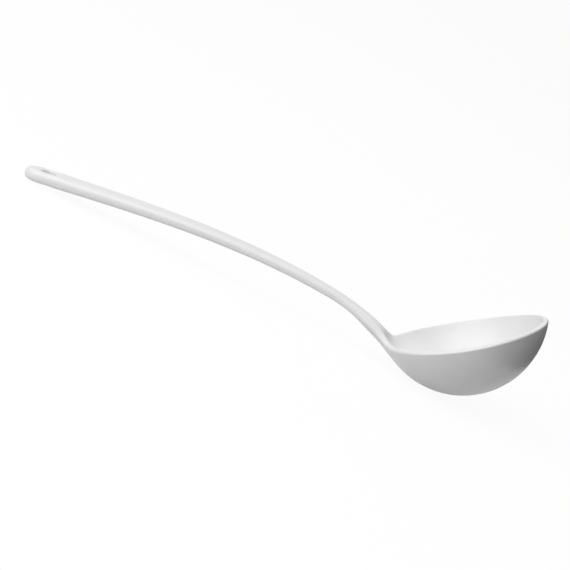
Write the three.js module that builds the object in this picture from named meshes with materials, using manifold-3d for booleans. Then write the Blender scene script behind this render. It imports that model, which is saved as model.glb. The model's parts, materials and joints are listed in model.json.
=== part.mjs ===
// Sauce ladle: a round bowl and a long arched handle, compression-moulded in white melamine.
// Millimetres, +Z up. The pieces are drawn in the moulding frame, with the bowl's rim level, its
// centre at the origin and the handle going towards -X. The finished ladle then lies on a table,
// on the bowl's underside and the handle's end, with +X along its length.

import * as THREE from 'three';
import { mergeVertices } from 'three/addons/utils/BufferGeometryUtils.js';
import Module from 'manifold-3d';

// Bowl
const RIM_DIAMETER = 70;      // outside, at the lip
const BOWL_DEPTH = 27.3;      // from the highest point of the rim to the outside of the base
const BOWL_WALL = 2.2;
const WALL_LEAN = 16.6;       // degrees from upright, just under the lip
const SIDE_FULLNESS = 0.63;   // shape of the bowl's curve: how far its side runs straight down
const BASE_FULLNESS = 0.45;   // and how far its base runs level
const RIM_DIP = 1.4;          // the rim's sides lie this much lower than its tip and its neck

// Neck, between the rim and the handle
const NECK_RUN = 16.1;        // level distance from the rim's back edge to the handle's root
const NECK_RISE = 23.6;       // height of the handle's root above the rim
const NECK_WIDTH = 13.8;
const NECK_WIDENING = 8;      // level distance from the root over which the neck reaches that width
const NECK_THICKNESS = 4.8;
const FLARE_RUN = 2.7;        // level distance and height at which the neck's sides begin to flare
const FLARE_RISE = 9.1;
const FLARE_SLOPE = 52;       // degrees below level, along the neck's top there and down to the rim
const FLARE_ANGLE = 20;       // degrees round the rim, on each side, to where the flare ends
const FLARE_LENGTH = 19;      // distance down the bowl's wall to where the neck's back runs into it
const FLARE_SINK = 0.15;      // the flare ends this far inside the wall

// Handle
const ROOT_SLOPE = 40.4;      // degrees below level, where the handle leaves the neck
const GRIP_RUN = 103.6;       // level length of the arched grip
const GRIP_RISE = 63.3;
const END_SLOPE = 26.4;       // degrees below level, along the straight end
const END_LENGTH = 21.4;      // straight end with the hanging hole
const END_WIDTH = 14.8;
const ROOT_WIDTH = 9.6;
const END_THICKNESS = 5;
const ROOT_THICKNESS = 3.4;
const TOP_EDGE = 1.1;         // radius of the upper edges
const UNDER_EDGE = 2.1;       // radius of the lower edges
const HOLE_DIAMETER = 6.4;
const HOLE_EDGE = 1;          // radius of the hole's rounded edges
const HOLE_FROM_END = 10;

// Fineness of the facets
const ROUND_STEPS = 72;
const CURVE_STEPS = 12;
const EDGE_STEPS = 4;
const UNDER_STEPS = 6;
const GRIP_STEPS = 22;
const NECK_STEPS = 10;
const FLARE_STEPS = 8;
const HOLE_STEPS = 28;
const TILT_STEPS = 50;        // halvings in the search for the tilt at which the ladle lies

const MELAMINE = { color: 0xf1f1ef, roughness: 0.22, metalness: 0 };

const radians = THREE.MathUtils.degToRad;
const mix = THREE.MathUtils.lerp;
const smooth = THREE.MathUtils.smoothstep;
const quarter = Math.PI / 2;
const rimRadius = RIM_DIAMETER / 2;
const lipRadius = BOWL_WALL / 2;
const across = new THREE.Vector3(0, 1, 0);

const wasm = await Module();
wasm.setup();

// A closed geometry as a solid for joining and cutting.
function solid(geometry) {
  const shape = geometry.clone();
  shape.deleteAttribute('normal');
  shape.deleteAttribute('uv');
  const merged = mergeVertices(shape);
  const corners = merged.index.array;
  const triVerts = [];
  for (let i = 0; i < corners.length; i += 3) {
    const [a, b, c] = corners.slice(i, i + 3);
    if (a !== b && b !== c && c !== a) {
      triVerts.push(a, b, c);
    }
  }
  return new wasm.Manifold(new wasm.Mesh({
    numProp: 3,
    vertProperties: new Float32Array(merged.attributes.position.array),
    triVerts: new Uint32Array(triVerts),
  }));
}

function geometryOf(body) {
  const mesh = body.getMesh();
  const geometry = new THREE.BufferGeometry();
  geometry.setAttribute('position', new THREE.BufferAttribute(new Float32Array(mesh.vertProperties), 3));
  geometry.setIndex(new THREE.BufferAttribute(new Uint32Array(mesh.triVerts), 1));
  geometry.computeVertexNormals();
  return geometry;
}

// The bowl's curve from under the lip to the middle of the base, as radius and height.
function bowlCurve(radius, depth) {
  const lean = radians(WALL_LEAN);
  const start = new THREE.Vector2(radius, -lipRadius);
  const drop = depth - lipRadius;
  const side = new THREE.Vector2(-Math.sin(lean), -Math.cos(lean)).multiplyScalar(SIDE_FULLNESS * drop);
  const end = new THREE.Vector2(0, -depth);
  const base = new THREE.Vector2(BASE_FULLNESS * radius, -depth);
  return new THREE.CubicBezierCurve(start, start.clone().add(side), base, end);
}

// The rim, and less and less of the bowl below it, dips towards its sides.
function dipped(x, y, z) {
  const sideways = Math.sin(Math.atan2(y, x)) ** 2;
  const height = THREE.MathUtils.clamp(1 + z / BOWL_DEPTH, 0, 1);
  return z - RIM_DIP * sideways * height ** 2;
}

// Turns a profile of the bowl about the upright axis.
function turned(profile) {
  const geometry = new THREE.LatheGeometry(profile, ROUND_STEPS).rotateX(Math.PI / 2);
  const place = geometry.attributes.position;
  for (let i = 0; i < place.count; i++) {
    place.setZ(i, dipped(place.getX(i), place.getY(i), place.getZ(i)));
  }
  return geometry;
}

// Half of a bar's section, as pairs of distance from the middle and depth below the top: a flat
// top, round upper edges, and a lower corner that is underWide across and underDeep down.
function halfSection(halfWidth, thickness, underWide, underDeep) {
  const rows = [[0, 0]];
  for (let i = 0; i <= EDGE_STEPS; i++) {
    const turn = i / EDGE_STEPS * quarter;
    rows.push([halfWidth - TOP_EDGE * (1 - Math.sin(turn)), TOP_EDGE * (1 - Math.cos(turn))]);
  }
  for (let i = 0; i <= UNDER_STEPS; i++) {
    const turn = i / UNDER_STEPS * quarter;
    const inset = underWide * (1 - Math.cos(turn));
    rows.push([halfWidth - inset, thickness - underDeep * (1 - Math.sin(turn))]);
  }
  rows.push([0, thickness]);
  return rows;
}

// Both sides of one place along a bar, from the rows of its near side.
function bothSides(near) {
  return { near, far: near.map(({ x, y, z }) => new THREE.Vector3(x, -y, z)) };
}

// One place along a bar: a point on its top line, the direction along it and its half section.
// Swing turns the two sides towards the end of the bar, to walk round a semicircular end.
function station(point, along, section, swing = 0) {
  const up = new THREE.Vector3().crossVectors(across, along).normalize();
  return bothSides(section.map(([distance, depth]) => point.clone()
    .addScaledVector(across, -distance * Math.cos(swing))
    .addScaledVector(along, distance * Math.sin(swing))
    .addScaledVector(up, -depth)));
}

// Skins a row of stations into a closed bar, whose sides meet along its top and its underside.
function bar(stations) {
  const rows = stations[0].near.length;
  const points = [];
  for (const { near, far } of stations) {
    points.push(...near, ...far);
  }
  const near = (s, row) => s * 2 * rows + row;
  const far = (s, row) => near(s, row) + rows;
  const index = [];
  const quad = (a, b, c, d) => index.push(a, b, c, a, c, d);
  const last = stations.length - 1;
  const lowest = rows - 1;
  for (let s = 0; s < last; s++) {
    for (let row = 0; row < lowest; row++) {
      quad(near(s, row), near(s + 1, row), near(s + 1, row + 1), near(s, row + 1));
      quad(far(s, row), far(s, row + 1), far(s + 1, row + 1), far(s + 1, row));
    }
  }
  for (let row = 0; row < lowest; row++) {
    quad(near(0, row), near(0, row + 1), far(0, row + 1), far(0, row));
    quad(near(last, row), far(last, row), far(last, row + 1), near(last, row + 1));
  }
  const geometry = new THREE.BufferGeometry().setFromPoints(points);
  geometry.setIndex(index);
  return geometry;
}

// Direction along the handle, towards its end, at a slope in degrees.
function towardsEnd(slope) {
  return new THREE.Vector3(-Math.cos(radians(slope)), 0, Math.sin(radians(slope)));
}

// A smooth line between two points, along the given directions at its ends.
function sweep(from, fromWay, to, toWay) {
  const reach = from.distanceTo(to) / 3;
  return new THREE.CubicBezierCurve3(
    from,
    from.clone().addScaledVector(fromWay, reach),
    to.clone().addScaledVector(toWay, -reach),
    to,
  );
}

// The top line, from where the neck flares, up to the root of the handle and along to its end.
const flareWay = towardsEnd(FLARE_SLOPE);
const rootWay = towardsEnd(ROOT_SLOPE);
const endWay = towardsEnd(END_SLOPE);
const flare = new THREE.Vector3(-rimRadius - FLARE_RUN, 0, FLARE_RISE);
const root = new THREE.Vector3(-rimRadius - NECK_RUN, 0, NECK_RISE);
const gripEnd = root.clone().add(new THREE.Vector3(-GRIP_RUN, 0, GRIP_RISE));
const neckLine = sweep(flare, flareWay, root, rootWay);
const gripLine = sweep(root, rootWay, gripEnd, endWay);

// The section where the neck and the handle meet belongs to both.
const rootStation = station(root, rootWay,
  halfSection(ROOT_WIDTH / 2, ROOT_THICKNESS, UNDER_EDGE, UNDER_EDGE));

// Where the neck's flare ends on the near side, row by row of its half section: the place, and
// the direction in which the row arrives. The first row runs on into the hollow of the bowl, the
// next lie round the lip, and the rest down the bowl's outside, the last of them lowest.
function flareEnd(outside) {
  const rows = [];
  const add = (radius, height, angle, way) => {
    const [x, y] = [-radius * Math.cos(angle), -radius * Math.sin(angle)];
    rows.push({ place: new THREE.Vector3(x, y, dipped(x, y, height)), way });
  };
  const widest = radians(FLARE_ANGLE);
  const round = (angle) => new THREE.Vector3(Math.sin(angle), -Math.cos(angle), 0);
  const inside = flare.clone().addScaledVector(flareWay, -flare.z / flareWay.z);
  rows.push({ place: inside, way: flareWay.clone().negate() });
  for (let i = 0; i <= EDGE_STEPS; i++) {
    const turn = i / EDGE_STEPS * quarter;
    const sunk = lipRadius - FLARE_SINK;
    const radius = rimRadius - lipRadius + sunk * Math.sin(turn);
    add(radius, sunk * Math.cos(turn) - lipRadius, widest, round(widest));
  }
  for (let i = 0; i <= UNDER_STEPS; i++) {
    const turn = i / UNDER_STEPS * quarter;
    const angle = widest * Math.cos(turn);
    const t = outside.getUtoTmapping(0, FLARE_LENGTH * Math.sin(turn));
    const wall = outside.getPoint(t);
    const fall = outside.getTangent(t);
    const down = new THREE.Vector3(-fall.x * Math.cos(angle), -fall.x * Math.sin(angle), fall.y);
    const way = round(angle).multiplyScalar(Math.cos(turn)).addScaledVector(down, Math.sin(turn));
    add(wall.x - FLARE_SINK, wall.y, angle, way.normalize());
  }
  rows.push(rows.at(-1));
  return rows;
}

// Bowl: a turned shell with a round lip, and a neck that flares into the rim and the wall.
function makeBowl() {
  const outside = bowlCurve(rimRadius, BOWL_DEPTH);
  const inside = bowlCurve(rimRadius - BOWL_WALL, BOWL_DEPTH - BOWL_WALL).getPoints(CURVE_STEPS);
  const lip = [];
  for (let i = 1; i < 2 * EDGE_STEPS; i++) {
    const turn = i / EDGE_STEPS * quarter;
    const outwards = lipRadius * Math.cos(turn);
    lip.push(new THREE.Vector2(rimRadius - lipRadius + outwards, lipRadius * (Math.sin(turn) - 1)));
  }
  const shell = turned([...outside.getPoints(CURVE_STEPS).reverse(), ...lip, ...inside]);

  // From the root the neck widens and thickens, and its underside becomes round.
  const neck = [];
  for (let i = 0; i < NECK_STEPS; i++) {
    const t = i / NECK_STEPS;
    const point = neckLine.getPoint(t);
    const widened = smooth(point.x, root.x, root.x + NECK_WIDENING);
    const grown = smooth(1 - t, 0, 1) ** 2;
    const halfWidth = mix(ROOT_WIDTH, NECK_WIDTH, widened) / 2;
    const thickness = mix(ROOT_THICKNESS, NECK_THICKNESS, grown);
    const underWide = mix(UNDER_EDGE, halfWidth, grown);
    const underDeep = mix(UNDER_EDGE, thickness - TOP_EDGE, grown);
    const section = halfSection(halfWidth, thickness, underWide, underDeep);
    neck.push(station(point, neckLine.getTangent(t), section));
  }
  neck.push(rootStation);

  // Each row of the flare leaves the neck along it and arrives along the surface of the bowl.
  const ends = flareEnd(outside);
  const leaving = flareWay.clone().negate();
  const rows = neck[0].near.map((start, n) => sweep(start, leaving, ends[n].place, ends[n].way));
  for (let i = 1; i <= FLARE_STEPS; i++) {
    neck.unshift(bothSides(rows.map((row) => row.getPoint(i / FLARE_STEPS))));
  }

  // The inside of the bowl, carried up past the neck, is cut out of both.
  const mouth = inside[0];
  const rise = NECK_RISE + BOWL_DEPTH;
  const above = new THREE.Vector2(mouth.x + rise * Math.tan(radians(WALL_LEAN)), mouth.y + rise);
  const hollow = turned([...inside.slice().reverse(), above, new THREE.Vector2(0, above.y)]);
  return geometryOf(solid(shell).add(solid(bar(neck))).subtract(solid(hollow)));
}

// Handle: a tapering bar along the top line, with a semicircular end and a hanging hole.
function makeHandle() {
  const endHalf = END_WIDTH / 2;
  const full = gripLine.getLength() + END_LENGTH - endHalf;
  const stations = [rootStation];
  const addStation = (point, along, travelled, swing) => {
    const share = travelled / full;
    const halfWidth = mix(ROOT_WIDTH / 2, endHalf, share);
    const thickness = mix(ROOT_THICKNESS, END_THICKNESS, share);
    const section = halfSection(halfWidth, thickness, UNDER_EDGE, UNDER_EDGE);
    stations.push(station(point, along, section, swing));
  };
  for (let i = 1; i < GRIP_STEPS; i++) {
    const t = gripLine.getUtoTmapping(i / GRIP_STEPS);
    addStation(gripLine.getPoint(t), gripLine.getTangent(t), gripLine.getLength() * i / GRIP_STEPS, 0);
  }
  addStation(gripEnd, endWay, gripLine.getLength(), 0);
  const roundCentre = gripEnd.clone().addScaledVector(endWay, END_LENGTH - endHalf);
  for (let i = 0; i <= CURVE_STEPS; i++) {
    addStation(roundCentre, endWay, full, i / CURVE_STEPS * quarter);
  }

  // The hole's cutter flares at both faces, to leave rounded edges.
  const holeRadius = HOLE_DIAMETER / 2;
  const flareOut = [];
  for (let i = 0; i <= EDGE_STEPS; i++) {
    const turn = i / EDGE_STEPS * quarter;
    flareOut.push([holeRadius + HOLE_EDGE * (1 - Math.cos(turn)), HOLE_EDGE * (1 - Math.sin(turn))]);
  }
  const clear = HOLE_EDGE;
  const widest = flareOut.at(-1)[0];
  const upper = flareOut.map(([radius, depth]) => new THREE.Vector2(radius, -depth));
  const lower = upper.map(({ x, y }) => new THREE.Vector2(x, -y - END_THICKNESS)).reverse();
  const cutter = new THREE.LatheGeometry([
    new THREE.Vector2(0, -END_THICKNESS - clear),
    new THREE.Vector2(widest, -END_THICKNESS - clear),
    ...lower, ...upper,
    new THREE.Vector2(widest, clear),
    new THREE.Vector2(0, clear),
  ], HOLE_STEPS);
  const hole = gripEnd.clone().addScaledVector(endWay, END_LENGTH - HOLE_FROM_END);
  const endUp = new THREE.Vector3().crossVectors(across, endWay);
  const endSide = new THREE.Vector3().crossVectors(endWay, endUp);
  cutter.applyMatrix4(new THREE.Matrix4().makeBasis(endWay, endUp, endSide).setPosition(hole));
  return geometryOf(solid(bar(stations)).subtract(solid(cutter)));
}

function piece(name, geometry) {
  const mesh = new THREE.Mesh(geometry, new THREE.MeshStandardMaterial(MELAMINE));
  mesh.name = name;
  return mesh;
}

const bowl = piece('bowl', makeBowl());
const handle = piece('handle', makeHandle());

// The tilt at which the bowl's underside and the handle's end both touch the table.
function lowest(mesh, tilt) {
  const place = mesh.geometry.attributes.position;
  let low = Infinity;
  for (let i = 0; i < place.count; i++) {
    low = Math.min(low, place.getX(i) * Math.sin(tilt) + place.getZ(i) * Math.cos(tilt));
  }
  return low;
}
let [level, upright] = [0, quarter];
for (let i = 0; i < TILT_STEPS; i++) {
  const tilt = (level + upright) / 2;
  if (lowest(handle, tilt) > lowest(bowl, tilt)) {
    level = tilt;
  } else {
    upright = tilt;
  }
}

const moulding = new THREE.Group();
moulding.add(bowl, handle);
moulding.rotation.y = -level;
moulding.updateMatrixWorld(true);
const box = new THREE.Box3().setFromObject(moulding, true);
moulding.position.set(-(box.min.x + box.max.x) / 2, -(box.min.y + box.max.y) / 2, -box.min.z);

const ladle = new THREE.Group();
ladle.add(moulding);
ladle.updateMatrixWorld(true);

export default ladle;
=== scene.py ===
import json
import math

import bmesh
import bpy
from mathutils import Matrix, Vector
from mathutils.geometry import interpolate_bezier
from mathutils.kdtree import KDTree


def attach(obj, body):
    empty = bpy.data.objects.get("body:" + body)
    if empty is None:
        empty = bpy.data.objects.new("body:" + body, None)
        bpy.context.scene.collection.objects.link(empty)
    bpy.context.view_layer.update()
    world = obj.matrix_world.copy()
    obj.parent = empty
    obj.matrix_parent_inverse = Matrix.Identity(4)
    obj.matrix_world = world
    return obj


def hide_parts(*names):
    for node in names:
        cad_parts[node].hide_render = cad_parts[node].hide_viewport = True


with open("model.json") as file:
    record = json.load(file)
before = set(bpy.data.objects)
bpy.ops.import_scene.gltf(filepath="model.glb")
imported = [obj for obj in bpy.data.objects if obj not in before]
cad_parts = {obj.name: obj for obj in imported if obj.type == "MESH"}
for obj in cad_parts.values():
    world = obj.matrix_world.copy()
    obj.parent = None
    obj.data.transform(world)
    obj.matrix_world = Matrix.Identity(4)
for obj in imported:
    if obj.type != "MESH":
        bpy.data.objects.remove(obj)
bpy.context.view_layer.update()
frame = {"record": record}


# Bowl and neck
# The cup of the ladle, one even wall of moulded melamine with a rounded lip, and the neck that
# rises from it. The neck's top runs into the bowl in a smooth throat, its edges turn into the lip
# and its back runs into the wall. It is drawn in millimetres with the rim level.

RIM_RADIUS = 34.9
BOWL_DEPTH = 27.3
WALL = 2.2
LIP_INSIDE = 0.4
LIP_OUTSIDE = 1.2
WALL_LEAN = math.radians(16.6)
SIDE_FULLNESS = 0.63
BASE_FULLNESS = 0.45
RIM_DIP = 1.75
ROUND_STEPS = 72
WALL_STEPS = 15
INNER_LIP_STEPS = 2
OUTER_LIP_STEPS = 3
UNDER_LIP = (0.12, 0.25, 0.4)
MERGE = 0.001
QUARTER = math.pi / 2


def wall_curve(radius, depth, edge):
    """The bowl's curve in the XZ plane, from under the lip to the middle of the base."""
    start = Vector((radius, 0, -edge))
    down = Vector((-math.sin(WALL_LEAN), 0, -math.cos(WALL_LEAN)))
    side = start + down * SIDE_FULLNESS * (depth - edge)
    base = Vector((BASE_FULLNESS * radius, 0, -depth))
    middle = Vector((0, 0, -depth))
    return interpolate_bezier(start, side, base, middle, WALL_STEPS + 1)


def dipped(place):
    """The rim, and less and less of the wall below it, dips towards its two sides."""
    around = math.atan2(place.y, place.x)
    height = min(max(1 + place.z / BOWL_DEPTH, 0), 1)
    return place - Vector((0, 0, RIM_DIP * math.sin(around) ** 2 * height ** 2))


outside = wall_curve(RIM_RADIUS, BOWL_DEPTH, LIP_OUTSIDE)
outside[1:1] = [outside[0].lerp(outside[1], share) for share in UNDER_LIP]
inside = wall_curve(RIM_RADIUS - WALL, BOWL_DEPTH - WALL, LIP_INSIDE)
lip = []
for step in range(1, INNER_LIP_STEPS + 1):
    turn = QUARTER * step / INNER_LIP_STEPS
    inset = LIP_INSIDE * (1 - math.cos(turn))
    lip.append(Vector((RIM_RADIUS - WALL + inset, 0, LIP_INSIDE * (math.sin(turn) - 1))))
for step in range(OUTER_LIP_STEPS):
    turn = QUARTER * step / OUTER_LIP_STEPS
    inset = LIP_OUTSIDE * (1 - math.sin(turn))
    lip.append(Vector((RIM_RADIUS - inset, 0, LIP_OUTSIDE * (math.cos(turn) - 1))))
bowl_profile = inside[::-1] + lip + outside

bowl = bmesh.new()
bowl.edges.layers.float.new("crease_edge")
profile_verts = [bowl.verts.new(place) for place in bowl_profile]
profile_edges = [bowl.edges.new(pair) for pair in zip(profile_verts, profile_verts[1:])]
bmesh.ops.spin(
    bowl, geom=profile_verts + profile_edges, cent=(0, 0, 0), axis=(0, 0, 1),
    angle=math.tau, steps=ROUND_STEPS, use_merge=True,
)
bmesh.ops.remove_doubles(bowl, verts=bowl.verts, dist=MERGE)
for vert in bowl.verts:
    vert.co = dipped(vert.co)

# The opening in the lip and the wall from which the neck grows, between two radii of the bowl.
FLARE_STEPS_ROUND = 10
BACK_ROWS = 6

half = FLARE_STEPS_ROUND // 2
steps = range(-half, half + 1)
throat_row = len(inside) - 2
lip_end = len(inside) + len(lip)
opening_rows = range(throat_row, lip_end + BACK_ROWS + 1)


def bowl_place(row, step):
    """A corner of the bowl's mesh, by its profile row and by steps round from the neck."""
    angle = math.tau * step / ROUND_STEPS
    spot = bowl_profile[row]
    return dipped(Vector((-spot.x * math.cos(angle), spot.x * math.sin(angle), spot.z)))


def corners_at(mesh, places):
    """The mesh's vertices nearest to the given places."""
    mesh.verts.ensure_lookup_table()
    tree = KDTree(len(mesh.verts))
    for number, vert in enumerate(mesh.verts):
        tree.insert(vert.co, number)
    tree.balance()
    return [mesh.verts[tree.find(place)[1]] for place in places]


def ring_spots(rows):
    """Row and step of each corner round an opening: along its top, down, back and up."""
    spots = [(rows[0], step) for step in steps]
    spots += [(row, half) for row in rows[1:]]
    spots += [(rows[-1], step) for step in range(half - 1, -half, -1)]
    return spots + [(row, -half) for row in rows[:0:-1]]


def open_side(mesh, rows, place):
    """Takes out the faces between the given rows and steps, and returns the ring round the hole."""
    patch = set(corners_at(mesh, [place(row, step) for row in rows for step in steps]))
    inner = [face for face in mesh.faces if patch.issuperset(face.verts)]
    ring = corners_at(mesh, [place(*spot) for spot in ring_spots(rows)])
    bmesh.ops.delete(mesh, geom=inner, context="FACES")
    return ring


bowl_ring = open_side(bowl, opening_rows, bowl_place)
bowl_spots = ring_spots(opening_rows)

# The bar of the neck and the handle: a flat top with rounded edges, upright sides and a flat
# underside. Towards the bowl its top crowns a little and its underside swells.
TOP_MARGINS = (0.6, 0.3)
UNDER_MARGINS = (0.3, 0.55, 0.8)
EDGE_STEPS = 3
ACROSS = Vector((0, 1, 0))
EVEN_PULL = 1 / 3


def side_rows(half_width, thickness, top_edge, under_edge):
    """One side of the bar's section, as distance from the middle and depth below the top."""
    rows = [(half_width - top_edge - margin, 0) for margin in TOP_MARGINS]
    for step in range(EDGE_STEPS + 1):
        turn = QUARTER * step / EDGE_STEPS
        inset = top_edge * (1 - math.sin(turn))
        rows.append((half_width - inset, top_edge * (1 - math.cos(turn))))
    rows.append((half_width, (top_edge + thickness - under_edge) / 2))
    for step in range(EDGE_STEPS + 1):
        turn = QUARTER * step / EDGE_STEPS
        inset = under_edge * (1 - math.cos(turn))
        rows.append((half_width - inset, thickness - under_edge * (1 - math.sin(turn))))
    return rows + [(half_width - under_edge - margin, thickness) for margin in UNDER_MARGINS]


def section(half_width, thickness, top_edge, under_edge, crown=0, belly=0):
    """The whole closed section, as distance across and depth, in the order of a ring."""
    side = side_rows(half_width, thickness, top_edge, under_edge)
    shares = [step / half for step in steps]
    shape = [(side[0][0] * share, 0) for share in shares] + side[1:]
    shape += [(side[-1][0] * share, thickness) for share in shares[-2:0:-1]]
    shape += [(-distance, depth) for distance, depth in side[:0:-1]]
    swollen = []
    for distance, depth in shape:
        inwards = 1 - (distance / half_width) ** 2
        swell = belly * inwards * depth / thickness - crown * inwards * (1 - depth / thickness)
        swollen.append((distance, depth + swell))
    return swollen


def set_square(place, way, shape):
    """The corners of a section, square to the bar at a place on the middle of its top."""
    up = ACROSS.cross(way)
    return [place + ACROSS * distance - up * depth for distance, depth in shape]


def towards_end(slope):
    """Direction along the handle, towards its end."""
    return Vector((-math.cos(slope), 0, math.sin(slope)))


def sweep(start, start_way, end, end_way, share, pull=EVEN_PULL):
    """A place on a smooth line that leaves and arrives in the given directions."""
    reach = (end - start).length * pull
    first, second = start + start_way * reach, end - end_way * reach
    rest = 1 - share
    return (start * rest ** 3 + first * (3 * rest ** 2 * share)
            + second * (3 * rest * share ** 2) + end * share ** 3)


def sweep_way(start, start_way, end, end_way, share):
    """The direction along that line."""
    before = sweep(start, start_way, end, end_way, share - MERGE)
    return (sweep(start, start_way, end, end_way, share + MERGE) - before).normalized()


def smooth(share):
    """Eases a share between 0 and 1 in and out."""
    share = min(max(share, 0), 1)
    return share * share * (3 - 2 * share)


def between(low, high, share):
    """A value the given share of the way from one to another."""
    return low + (high - low) * share


def ring_edges(mesh, ring):
    """The edges round a ring of vertices."""
    return [mesh.edges.get(pair) for pair in zip(ring, ring[1:] + ring[:1])]


def grow(mesh, ring, places):
    """Extrudes a ring and sets the new one at the given places."""
    grown = bmesh.ops.extrude_edge_only(mesh, edges=ring_edges(mesh, ring))["geom"]
    fresh = {item for item in grown if isinstance(item, bmesh.types.BMVert)}
    following = []
    for vert, place in zip(ring, places):
        neighbours = [edge.other_vert(vert) for edge in vert.link_edges]
        ahead = next(neighbour for neighbour in neighbours if neighbour in fresh)
        ahead.co = place
        following.append(ahead)
    return following


# The flare: each of its lines leaves the bowl along the surface there and joins the neck along it.
FLARE_OUT = 2.7
FLARE_RISE = 8.85
FLARE_SLOPE = math.radians(52)
FLARE_STEPS = 5
FLARE_PULL = 0.47
THROAT_TURN = 0.6
NECK_HALF_WIDTH = 6.9
NECK_TOP_EDGE = 1.5
NECK_UNDER_EDGE = 0.6
NECK_CROWN = 0.6
NECK_THICKNESS = 2.5
NECK_BELLY = 2.15
NECK_LENGTH = 19.8
NECK_TAPER = 1.5
ROOT_OUT = 16.1
ROOT_RISE = 23.6
ROOT_SLOPE = math.radians(40.4)
ROOT_HALF_WIDTH = 4.8
ROOT_THICKNESS = 3.3
ROOT_TOP_EDGE = 1.5
ROOT_UNDER_EDGE = 0.9

flare_place = Vector((-RIM_RADIUS - FLARE_OUT, 0, FLARE_RISE))
flare_way = towards_end(FLARE_SLOPE)
lip_crest = len(inside) + INNER_LIP_STEPS - 1
lip_foot = bowl_profile[lip_end].z
back_foot = bowl_profile[opening_rows[-1]].z
leaving = []
for row, step in bowl_spots:
    angle = math.tau * step / ROUND_STEPS
    round_lip = Vector((-math.sin(angle), -math.cos(angle), 0)) * math.copysign(1, step)
    sideways = abs(step) / half
    if row < lip_end:
        rise = bowl_profile[row + 1] - bowl_profile[row - 1]
        below = bowl_profile[row].z / bowl_profile[throat_row].z if row < lip_crest else 0
        share = THROAT_TURN * below ** 2
    else:
        rise = bowl_profile[row - 1] - bowl_profile[row + 1]
        share = (bowl_profile[row].z - lip_foot) / (back_foot - lip_foot)
    up_wall = Vector((-rise.x * math.cos(angle), rise.x * math.sin(angle), rise.z)).normalized()
    way = round_lip * sideways + up_wall * share
    leaving.append(way.normalized())

neck_shape = section(
    NECK_HALF_WIDTH, NECK_THICKNESS, NECK_TOP_EDGE, NECK_UNDER_EDGE,
    crown=NECK_CROWN, belly=NECK_BELLY,
)
closing = NECK_TAPER * (NECK_HALF_WIDTH - ROOT_HALF_WIDTH) / NECK_LENGTH
flare_lines = []
for vert, way, place in zip(bowl_ring, leaving, set_square(flare_place, flare_way, neck_shape)):
    arriving = flare_way - ACROSS * closing * place.y / NECK_HALF_WIDTH
    flare_lines.append((vert.co.copy(), way, place, arriving.normalized()))
ring = bowl_ring
for step in range(1, FLARE_STEPS):
    ring = grow(bowl, ring, [sweep(*line, step / FLARE_STEPS, FLARE_PULL) for line in flare_lines])

# The neck narrows and flattens towards its root, where the handle takes over.
NECK_STEPS = 8
ROOT_RING = 0.015

root_place = Vector((-RIM_RADIUS - ROOT_OUT, 0, ROOT_RISE))
root_way = towards_end(ROOT_SLOPE)
neck_line = (flare_place, flare_way, root_place, root_way)
for share in [step / NECK_STEPS for step in range(NECK_STEPS)] + [1 - ROOT_RING, 1]:
    place = sweep(*neck_line, share)
    swelling = smooth(1 - share) ** 2
    widening = (1 - share) ** NECK_TAPER
    shape = section(
        between(ROOT_HALF_WIDTH, NECK_HALF_WIDTH, widening),
        between(ROOT_THICKNESS, NECK_THICKNESS, swelling),
        between(ROOT_TOP_EDGE, NECK_TOP_EDGE, widening),
        between(ROOT_UNDER_EDGE, NECK_UNDER_EDGE, swelling),
        crown=NECK_CROWN * swelling, belly=NECK_BELLY * swelling,
    )
    ring = grow(bowl, ring, set_square(place, sweep_way(*neck_line, share), shape))


def close_end(mesh, ring):
    """Closes the end where the two mouldings' meshes meet, with a sharp edge."""
    edges = ring_edges(mesh, ring)
    bmesh.ops.edgeloop_fill(mesh, edges=edges)
    crease = mesh.edges.layers.float["crease_edge"]
    for edge in edges:
        edge[crease] = 1
        edge.smooth = False


close_end(bowl, ring)

# The ladle lies on the bowl's underside and the handle's end. The tilt and the place come from the
# packed mount on the flat of the hanging end.
MM = 0.001
SUBDIVISION = 2
GRIP_RUN = 103.6
GRIP_RISE = 63.3
END_SLOPE = math.radians(26.4)
MOUNT_FROM_GRIP = 3.0

grip_end = root_place + Vector((-GRIP_RUN, 0, GRIP_RISE))
end_way = towards_end(END_SLOPE)
mount = frame["record"]["mounts"][0]
tilt = END_SLOPE - math.atan2(mount["axis"][0], mount["axis"][2])
lying = Matrix.Rotation(-tilt, 4, "Y") @ Matrix.Scale(MM, 4)
mount_place = lying @ (grip_end + end_way * MOUNT_FROM_GRIP)
lying = Matrix.Translation(Vector(mount["pos_m"]) - mount_place) @ lying


def linear(colour):
    """An sRGB hex colour as linear red, green, blue and alpha."""
    channels = [int(colour[start:start + 2], 16) / 255 for start in (1, 3, 5)]
    return [c / 12.92 if c <= 0.04045 else ((c + 0.055) / 1.055) ** 2.4 for c in channels] + [1]


def add_node(tree, kind, inputs=None, **settings):
    """Adds a node with its settings, and sets or links its inputs."""
    made = tree.nodes.new(kind)
    for name, value in settings.items():
        setattr(made, name, value)
    for name, value in (inputs or {}).items():
        if isinstance(value, bpy.types.NodeSocket):
            tree.links.new(value, made.inputs[name])
        else:
            made.inputs[name].default_value = value
    return made


def cleared_tree(owner):
    """The empty node tree of a new material or world."""
    owner.use_nodes = True
    owner.node_tree.nodes.clear()
    return owner.node_tree


# Melamine resin, pressed in a polished steel mould: a dense neutral white, faintly mottled where the
# resin flowed, with a soft gloss and a faint peel.
MELAMINE_WHITE = "#e8e8e8"
MELAMINE_SHADE = "#e4e4e4"
MELAMINE_IOR = 1.6
FLOW_MM = 9
FLOW_DETAIL = 3
PEEL_MM = 2.5
PEEL_DETAIL = 1
PEEL_DEPTH_MM = 0.012
GLOSSIEST = 0.34
DULLEST = 0.4

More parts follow.
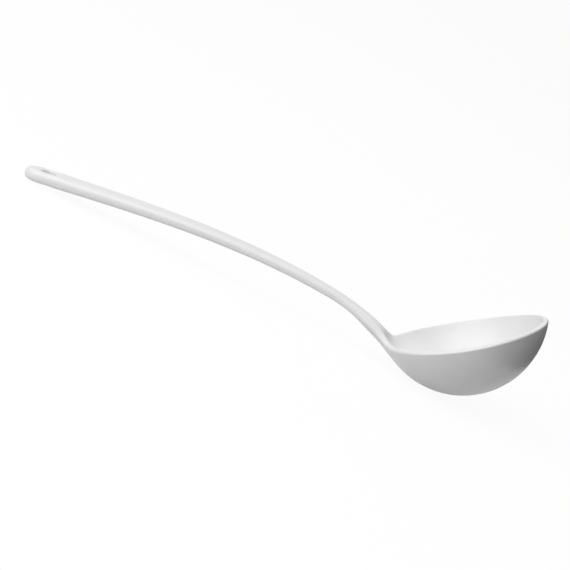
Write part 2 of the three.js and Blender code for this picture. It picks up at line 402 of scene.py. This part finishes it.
melamine = bpy.data.materials.new("moulded_melamine")
tree = cleared_tree(melamine)
coordinates = add_node(tree, "ShaderNodeTexCoord")
peel = add_node(tree, "ShaderNodeTexNoise", {
    "Vector": coordinates.outputs["Object"], "Scale": 1 / (PEEL_MM * MM), "Detail": PEEL_DETAIL,
})
gloss = add_node(tree, "ShaderNodeMapRange", {
    "Value": peel.outputs["Fac"], "To Min": GLOSSIEST, "To Max": DULLEST,
})
ripple = add_node(tree, "ShaderNodeBump", {
    "Height": peel.outputs["Fac"], "Strength": 1, "Distance": PEEL_DEPTH_MM * MM,
})
flow = add_node(tree, "ShaderNodeTexNoise", {
    "Vector": coordinates.outputs["Object"], "Scale": 1 / (FLOW_MM * MM), "Detail": FLOW_DETAIL,
})
mottle = add_node(tree, "ShaderNodeMapRange", {
    "Value": flow.outputs["Fac"],
    "To Min": linear(MELAMINE_SHADE)[0], "To Max": linear(MELAMINE_WHITE)[0],
})
surface = add_node(tree, "ShaderNodeBsdfPrincipled", {
    "Base Color": mottle.outputs["Result"], "IOR": MELAMINE_IOR,
    "Roughness": gloss.outputs["Result"], "Normal": ripple.outputs["Normal"],
})
add_node(tree, "ShaderNodeOutputMaterial", {"Surface": surface.outputs["BSDF"]})


def moulding(name, mesh, node):
    """Lays a finished mesh down as a piece that stands for its CAD node."""
    bmesh.ops.recalc_face_normals(mesh, faces=mesh.faces)
    bmesh.ops.transform(mesh, matrix=lying, verts=mesh.verts)
    data = bpy.data.meshes.new(name)
    for face in mesh.faces:
        face.smooth = True
    mesh.to_mesh(data)
    mesh.free()
    piece = bpy.data.objects.new(name, data)
    bpy.context.scene.collection.objects.link(piece)
    rounding = piece.modifiers.new("rounding", "SUBSURF")
    rounding.levels = SUBDIVISION
    rounding.render_levels = SUBDIVISION
    data.materials.append(melamine)
    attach(piece, "root")
    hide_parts(node)


moulding("moulded_bowl", bowl, "bowl")


# Handle
# A flat bar of the same moulding that arches up from the neck and widens to a straight end with a
# round hole to hang it by. Every edge is rounded in the mould, the hole's edges too.

END_LENGTH = 21.4
END_HALF_WIDTH = 7.4
END_THICKNESS = 5.0
HOLE_RADIUS = 3.6
HOLE_EDGE = 0.9
HOLE_FROM_END = 10.2
HOLE_STEPS = 40
GRIP_STEPS = 16
GRIP_RING = 0.0025
END_TOP_EDGE = 2.1
END_UNDER_EDGE = 1.7

end_side = side_rows(END_HALF_WIDTH, END_THICKNESS, END_TOP_EDGE, END_UNDER_EDGE)
hole_rows = []
for step in range(EDGE_STEPS + 1):
    turn = QUARTER * step / EDGE_STEPS
    inset = HOLE_EDGE * (1 - math.cos(turn))
    hole_rows.append((HOLE_RADIUS + inset, HOLE_EDGE * (1 - math.sin(turn))))
lower_rows = [(radius, END_THICKNESS - depth) for radius, depth in hole_rows]
tab_rows = end_side + lower_rows[::-1] + hole_rows

# The hanging end is turned round the hole, with +X back to the handle, and drawn out to its outline.
handle = bmesh.new()
handle.edges.layers.float.new("crease_edge")
tab_verts = [handle.verts.new((radius, 0, -depth)) for radius, depth in tab_rows]
tab_edges = [handle.edges.new(pair) for pair in zip(tab_verts, tab_verts[1:] + tab_verts[:1])]
bmesh.ops.spin(
    handle, geom=tab_verts + tab_edges, cent=(0, 0, 0), axis=(0, 0, 1),
    angle=math.tau, steps=HOLE_STEPS, use_merge=True,
)
bmesh.ops.remove_doubles(handle, verts=handle.verts, dist=MERGE)


def outline(angle):
    """How much further than round the hole the end reaches, by angle from the way to the handle."""
    forward, sideways = math.cos(angle), abs(math.sin(angle))
    centre = HOLE_FROM_END - END_HALF_WIDTH
    reach = END_HALF_WIDTH / max(forward, sideways)
    if forward * reach < -centre:
        lead = -forward * centre
        reach = lead + math.sqrt(lead ** 2 + END_HALF_WIDTH ** 2 - centre ** 2)
    return reach - END_HALF_WIDTH


def tab_place(row, step):
    """A corner of the hanging end's mesh, by its row and by steps round from the way to the handle."""
    radius, depth = end_side[row]
    angle = math.tau * step / HOLE_STEPS
    radius += outline(angle)
    return Vector((radius * math.cos(angle), radius * math.sin(angle), -depth))


for vert in handle.verts:
    radius = math.hypot(vert.co.x, vert.co.y)
    if radius > HOLE_RADIUS + HOLE_EDGE + MERGE:
        stretch = 1 + outline(math.atan2(vert.co.y, vert.co.x)) / radius
        vert.co.x *= stretch
        vert.co.y *= stretch
tab_ring = open_side(handle, range(len(end_side)), tab_place)

hole_place = grip_end + end_way * (END_LENGTH - HOLE_FROM_END)
tab_frame = Matrix((-end_way, -ACROSS, ACROSS.cross(end_way))).transposed().to_4x4()
tab_frame.translation = hole_place
bmesh.ops.transform(handle, matrix=tab_frame, verts=handle.verts)

# The bar grows from the root, along an even arch, and is bridged to the hanging end.
grip_line = (root_place, root_way, grip_end, end_way)
root_shape = section(ROOT_HALF_WIDTH, ROOT_THICKNESS, ROOT_TOP_EDGE, ROOT_UNDER_EDGE)
root_ring = [handle.verts.new(place) for place in set_square(root_place, root_way, root_shape)]
for pair in zip(root_ring, root_ring[1:] + root_ring[:1]):
    handle.edges.new(pair)
ring = root_ring
for share in [GRIP_RING] + [step / GRIP_STEPS for step in range(1, GRIP_STEPS + 1)]:
    place = sweep(*grip_line, share)
    shape = section(
        between(ROOT_HALF_WIDTH, END_HALF_WIDTH, share),
        between(ROOT_THICKNESS, END_THICKNESS, share),
        between(ROOT_TOP_EDGE, END_TOP_EDGE, share),
        between(ROOT_UNDER_EDGE, END_UNDER_EDGE, share),
    )
    ring = grow(handle, ring, set_square(place, sweep_way(*grip_line, share), shape))
bmesh.ops.bridge_loops(handle, edges=ring_edges(handle, ring) + ring_edges(handle, tab_ring))
close_end(handle, root_ring)
moulding("moulded_handle", handle, "handle")


# Floor
# A plain white table top that fills the view. The camera and reflections see it white, and it keeps
# a faint shadow of the ladle.

FLOOR_HALF = 6.0
FLOOR_GREY = "#dadada"
FLOOR_WHITE = "#ffffff"
SHADOW_SHARE = 0.06


def stage_piece(name, mesh, material):
    """Puts up a piece of the studio, which isn't part of the ladle."""
    data = bpy.data.meshes.new(name)
    mesh.to_mesh(data)
    mesh.free()
    data.materials.append(material)
    piece = bpy.data.objects.new(name, data)
    bpy.context.scene.collection.objects.link(piece)
    return piece


def seen_directly(tree):
    """1 for rays that see the background: from the camera, in reflections or through glass."""
    path = add_node(tree, "ShaderNodeLightPath")
    seen = path.outputs["Is Camera Ray"]
    for ray in ("Is Glossy Ray", "Is Transmission Ray"):
        either = add_node(tree, "ShaderNodeMath", {0: seen, 1: path.outputs[ray]}, operation="MAXIMUM")
        seen = either.outputs[0]
    return seen


paper = bpy.data.materials.new("white_paper")
tree = cleared_tree(paper)
matt = add_node(tree, "ShaderNodeBsdfDiffuse", {"Color": linear(FLOOR_GREY)})
pale = add_node(tree, "ShaderNodeBsdfDiffuse", {"Color": linear(FLOOR_WHITE)})
white = add_node(tree, "ShaderNodeEmission")
shadowed = add_node(tree, "ShaderNodeMixShader", {
    0: SHADOW_SHARE, 1: white.outputs[0], 2: pale.outputs[0],
})
table = add_node(tree, "ShaderNodeMixShader", {
    0: seen_directly(tree), 1: matt.outputs[0], 2: shadowed.outputs[0],
})
add_node(tree, "ShaderNodeOutputMaterial", {"Surface": table.outputs[0]})
floor_mesh = bmesh.new()
bmesh.ops.create_grid(floor_mesh, x_segments=1, y_segments=1, size=FLOOR_HALF)
stage_piece("floor", floor_mesh, paper)


# Light
# Soft studio light: a wide softbox in front of the handle, a weak one behind the bowl and even, pale
# surroundings. A dark screen leans over the bowl's right side and shades it.

SURROUND = 0.45
SEEN_WHITE = 1.0
LIGHT_AIM = Vector((0, 0, 0.02))
KEY_PLACE = Vector((-0.465, -0.516, 0.74))
KEY_WIDTH = 1.35
KEY_HEIGHT = 1.2
KEY_WATTS = 10.0
BACK_PLACE = Vector((0.34, 0.59, 0.75))
BACK_WIDTH = 0.9
BACK_HEIGHT = 0.7
BACK_WATTS = 2.1
SCREEN_PLACE = Vector((0.2475, 0, 0.1516))
SCREEN_LEAN = math.radians(-60)
SCREEN_HALF_WIDTH = 0.175
SCREEN_HALF_LENGTH = 1.2
FELT_BLACK = "#303030"

world = bpy.data.worlds.new("studio")
bpy.context.scene.world = world
tree = cleared_tree(world)
strength = add_node(tree, "ShaderNodeMapRange", {
    "Value": seen_directly(tree), "To Min": SURROUND, "To Max": SEEN_WHITE,
})
sky = add_node(tree, "ShaderNodeBackground", {"Strength": strength.outputs["Result"]})
add_node(tree, "ShaderNodeOutputWorld", {"Surface": sky.outputs[0]})


def softbox(name, place, width, height, watts):
    """An area light that faces the ladle."""
    lamp = bpy.data.lights.new(name, "AREA")
    lamp.shape = "RECTANGLE"
    lamp.size = width
    lamp.size_y = height
    lamp.energy = watts
    box = bpy.data.objects.new(name, lamp)
    box.location = place
    box.rotation_euler = (place - LIGHT_AIM).to_track_quat("Z", "Y").to_euler()
    box.visible_camera = False
    bpy.context.scene.collection.objects.link(box)


softbox("key_light", KEY_PLACE, KEY_WIDTH, KEY_HEIGHT, KEY_WATTS)
softbox("back_light", BACK_PLACE, BACK_WIDTH, BACK_HEIGHT, BACK_WATTS)

felt = bpy.data.materials.new("black_felt")
tree = cleared_tree(felt)
dark = add_node(tree, "ShaderNodeBsdfDiffuse", {"Color": linear(FELT_BLACK)})
add_node(tree, "ShaderNodeOutputMaterial", {"Surface": dark.outputs[0]})
leaning = Matrix.Translation(SCREEN_PLACE) @ Matrix.Rotation(SCREEN_LEAN, 4, "Y")
leaning = leaning @ Matrix.Diagonal((SCREEN_HALF_WIDTH, SCREEN_HALF_LENGTH, 1, 1))
screen_mesh = bmesh.new()
bmesh.ops.create_grid(screen_mesh, x_segments=1, y_segments=1, size=1, matrix=leaning)
screen = stage_piece("screen", screen_mesh, felt)
screen.visible_camera = False


# Camera
# Low in front of the ladle and rolled to the left, through a long lens from a metre and a half away.
# It looks past the near lip into the bowl.

CAMERA_PLACE = Vector((24.0, -1472.8, 307.0)) * MM
CAMERA_AIM = Vector((6.3, -2.5, 10.65)) * MM
CAMERA_ROLL = math.radians(27.48)
LENS_MM = 224.3

lens = bpy.data.cameras.new("camera")
lens.lens = LENS_MM
camera = bpy.data.objects.new("camera", lens)
camera.location = CAMERA_PLACE
facing = (CAMERA_PLACE - CAMERA_AIM).to_track_quat("Z", "Y").to_matrix()
camera.rotation_euler = (facing @ Matrix.Rotation(CAMERA_ROLL, 3, "Z")).to_euler()
bpy.context.scene.collection.objects.link(camera)
bpy.context.scene.camera = camera
bpy.context.scene.view_settings.view_transform = "Standard"
